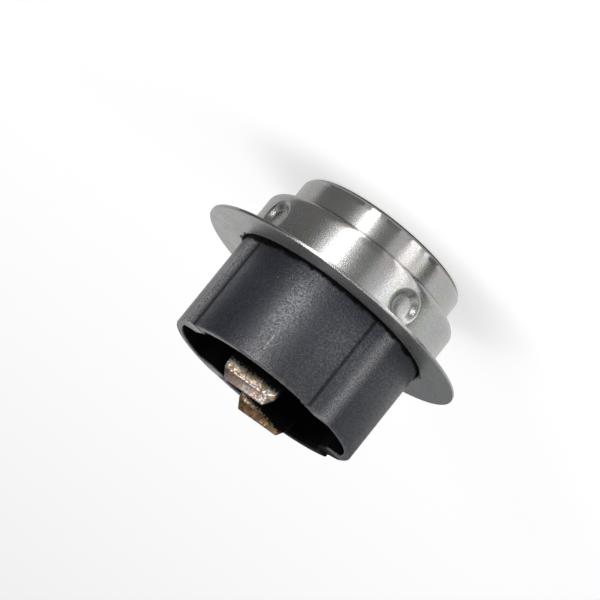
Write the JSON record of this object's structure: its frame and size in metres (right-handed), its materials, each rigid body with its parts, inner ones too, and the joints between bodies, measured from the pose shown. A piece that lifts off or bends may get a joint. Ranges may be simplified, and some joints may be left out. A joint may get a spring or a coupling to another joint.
{
  "type": "bimetal thermostat",
  "caption": "Snap-disc bimetal thermostat: flanged round steel cap with a stepped sensing cup, and a lobed dark connector shroud around flat push-on blades.",
  "frame": {"origin": "centre of the flat sensing face at the bottom of the cap", "axes": "+Z along the thermostat's axis from the sensing face towards the blades' tips, X through the shroud's round lobes and across the blades, Y from the strip terminal to the arm terminal"},
  "size_m": [0.0312, 0.0312, 0.0224],
  "materials": {
    "drawn_steel": "satin deep-drawn stainless steel",
    "dark_plastic": "matt dark grey moulded plastic",
    "worn_brass": "worn tinned brass with copper and brown patina",
    "brass": "bare brass",
    "bimetal": "rolled bimetal sheet",
    "spring_copper": "rolled copper alloy",
    "contact_silver": "bright silver alloy",
    "phenolic": "brown phenolic moulding",
    "ceramic": "white ceramic",
    "film": "amber film",
    "rubber": "black rubber",
    "resin": "black poured resin"
  },
  "bodies": {
    "thermostat_body": {"sensing_cap": "drawn_steel", "bimetal_disc": "bimetal", "disc_ring": "brass", "pin_guide": "phenolic", "insulating_film": "film", "switch_base": "phenolic", "contact_strip": "brass", "fixed_contact": "contact_silver", "arm_washer": "brass", "strip_washer": "brass", "arm_rivet": "brass", "strip_rivet": "brass", "arm_terminal": "worn_brass", "strip_terminal": "worn_brass", "sealing_ring": "rubber", "connector_housing": "dark_plastic", "sealing_resin": "resin"},
    "pin": {"transfer_pin": "ceramic"},
    "contact_arm": {"moving_arm": "spring_copper", "moving_contact": "contact_silver"}
  },
  "joints": [
    {"name": "pin_slide", "type": "slide", "parent": "thermostat_body", "child": "pin", "axis": [0, 0, 1], "range_m": [0, 0.00045], "stiffness_N_per_m": 300, "springref_m": -0.0005, "deforming": ["bimetal_disc"]},
    {"name": "arm_swing", "type": "hinge", "parent": "thermostat_body", "child": "contact_arm", "pos_m": [0, 0.00675, 0.0081], "axis": [-1, 0, 0], "range_deg": [0, 3.9]}
  ],
  "couplings": [
    {"joint": "arm_swing", "follows": "pin_slide", "rad_per_m": 148.26}
  ]
}
